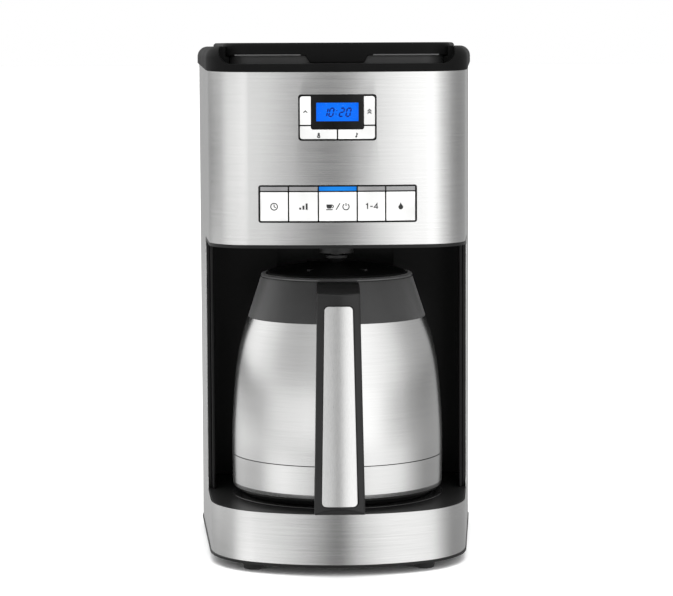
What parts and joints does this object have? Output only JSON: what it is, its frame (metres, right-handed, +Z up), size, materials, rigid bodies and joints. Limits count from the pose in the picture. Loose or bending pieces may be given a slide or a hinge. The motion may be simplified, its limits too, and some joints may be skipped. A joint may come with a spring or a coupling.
{
  "type": "drip coffee maker",
  "caption": "Programmable drip coffee maker in brushed steel and black plastic, with a thermal carafe in an open bay, a hinged lid, a clock display and a row of push buttons.",
  "frame": {"origin": "on the table under the middle of the overall box, between the carafe handle's face and the top collar's back", "axes": "+Z up, +Y from the front with the buttons to the back, +X to the right as a person faces the machine"},
  "size_m": [0.2018, 0.252, 0.3604],
  "materials": {
    "body_steel": "horizontally brushed, satin",
    "carafe_steel": "brushed round the vessel, satin",
    "black_housing": "fine moulded texture",
    "gloss_black": "polished black",
    "grey_plastic": "dark grey, satin",
    "inner_plastic": "plain black moulding",
    "clear_plastic": "clear moulded window",
    "tank_plastic": "smoked translucent tank",
    "rubber": "matt",
    "silicone": "milky silicone",
    "silver_button": "pale silver, satin gloss",
    "lens_grey": "unlit smoked lens",
    "lens_blue": "lit blue lens",
    "display_blue": "backlit blue display",
    "aluminium": "extruded, raw",
    "screw_steel": "zinc plated",
    "circuit_board": "green solder mask",
    "spring_steel": "drawn wire"
  },
  "bodies": {
    "root": {"base_pan": "black_housing", "base_housing": "black_housing", "steel_wrap": "body_steel", "head_housing": "black_housing", "rear_housing": "black_housing", "bay_liner": "black_housing", "head_floor": "black_housing", "top_collar": "gloss_black", "carafe_platform": "black_housing", "level_window": "clear_plastic", "feet": "rubber", "base_screws": "screw_steel", "cord_gland": "rubber", "lid_hinge_pins": "screw_steel", "water_reservoir": "tank_plastic", "water_filter_holder": "inner_plastic", "heater_block": "aluminium", "heater_tube": "aluminium", "thermal_cutouts": "screw_steel", "check_valve": "inner_plastic", "inlet_hose": "silicone", "riser_hose": "silicone", "outlet_spout": "inner_plastic", "basket_holder": "inner_plastic", "button_frame": "gloss_black", "brew_lens": "lens_blue", "indicator_lenses": "lens_grey", "clock_bezel": "gloss_black", "display_window": "clear_plastic", "lcd_module": "display_blue", "control_board": "circuit_board", "tact_switches": "inner_plastic", "power_board": "circuit_board", "ribbon_cable": "silicone"},
    "lid": {"lid_cover": "gloss_black", "lid_inner_panel": "inner_plastic", "lid_port_seal": "silicone", "shower_head": "inner_plastic"},
    "carafe": {"carafe_shell": "carafe_steel", "carafe_base_cup": "carafe_steel", "carafe_liner": "carafe_steel", "carafe_foot_ring": "black_housing", "carafe_collar": "grey_plastic", "carafe_handle": "black_housing", "handle_inlay": "carafe_steel", "handle_screws": "screw_steel"},
    "carafe_lid": {"carafe_lid": "black_housing", "lid_gasket": "silicone"},
    "drip_stop": {"drip_valve": "inner_plastic", "valve_spring": "spring_steel"},
    "basket": {"filter_basket": "inner_plastic"},
    "button_program_key": {"button_program": "silver_button"},
    "button_bold_key": {"button_bold": "silver_button"},
    "button_brew_key": {"button_brew": "silver_button"},
    "button_small_batch_key": {"button_small_batch": "silver_button"},
    "button_clean_key": {"button_clean": "silver_button"},
    "button_hour_key": {"button_hour": "silver_button"},
    "button_minute_key": {"button_minute": "silver_button"},
    "button_temperature_key": {"button_temperature": "silver_button"},
    "button_tone_key": {"button_tone": "silver_button"}
  },
  "joints": [
    {"name": "lid_hinge", "type": "hinge", "parent": "root", "child": "lid", "pos_m": [0, 0.11, 0.353], "axis": [-1, 0, 0], "range_deg": [0, 100]},
    {"name": "carafe_slide", "type": "slide", "parent": "root", "child": "carafe", "axis": [0, -1, 0], "range_m": [0, 0.24]},
    {"name": "lid_twist", "type": "hinge", "parent": "carafe", "child": "carafe_lid", "pos_m": [0, -0.008, 0.199], "axis": [0, 0, 1], "range_deg": [0, 60]},
    {"name": "drip_stop_travel", "type": "slide", "parent": "root", "child": "drip_stop", "axis": [0, 0, 1], "range_m": [-0.004, 0], "deforming": ["valve_spring"]},
    {"name": "basket_lift", "type": "slide", "parent": "root", "child": "basket", "axis": [0, 0, 1], "range_m": [0, 0.004]},
    {"name": "button_program_press", "type": "slide", "parent": "root", "child": "button_program_key", "axis": [0, 1, 0], "range_m": [0, 0.0008], "stiffness_N_per_m": 600, "springref_m": -0.001},
    {"name": "button_bold_press", "type": "slide", "parent": "root", "child": "button_bold_key", "axis": [0, 1, 0], "range_m": [0, 0.0008], "stiffness_N_per_m": 600, "springref_m": -0.001},
    {"name": "button_brew_press", "type": "slide", "parent": "root", "child": "button_brew_key", "axis": [0, 1, 0], "range_m": [0, 0.0008], "stiffness_N_per_m": 600, "springref_m": -0.001},
    {"name": "button_small_batch_press", "type": "slide", "parent": "root", "child": "button_small_batch_key", "axis": [0, 1, 0], "range_m": [0, 0.0008], "stiffness_N_per_m": 600, "springref_m": -0.001},
    {"name": "button_clean_press", "type": "slide", "parent": "root", "child": "button_clean_key", "axis": [0, 1, 0], "range_m": [0, 0.0008], "stiffness_N_per_m": 600, "springref_m": -0.001},
    {"name": "button_hour_press", "type": "slide", "parent": "root", "child": "button_hour_key", "axis": [0, 1, 0], "range_m": [0, 0.0008], "stiffness_N_per_m": 600, "springref_m": -0.001},
    {"name": "button_minute_press", "type": "slide", "parent": "root", "child": "button_minute_key", "axis": [0, 1, 0], "range_m": [0, 0.0008], "stiffness_N_per_m": 600, "springref_m": -0.001},
    {"name": "button_temperature_press", "type": "slide", "parent": "root", "child": "button_temperature_key", "axis": [0, 1, 0], "range_m": [0, 0.0008], "stiffness_N_per_m": 600, "springref_m": -0.001},
    {"name": "button_tone_press", "type": "slide", "parent": "root", "child": "button_tone_key", "axis": [0, 1, 0], "range_m": [0, 0.0008], "stiffness_N_per_m": 600, "springref_m": -0.001}
  ],
  "couplings": [
    {"joint": "drip_stop_travel", "follows": "carafe_slide", "ratio": -0.016667}
  ]
}
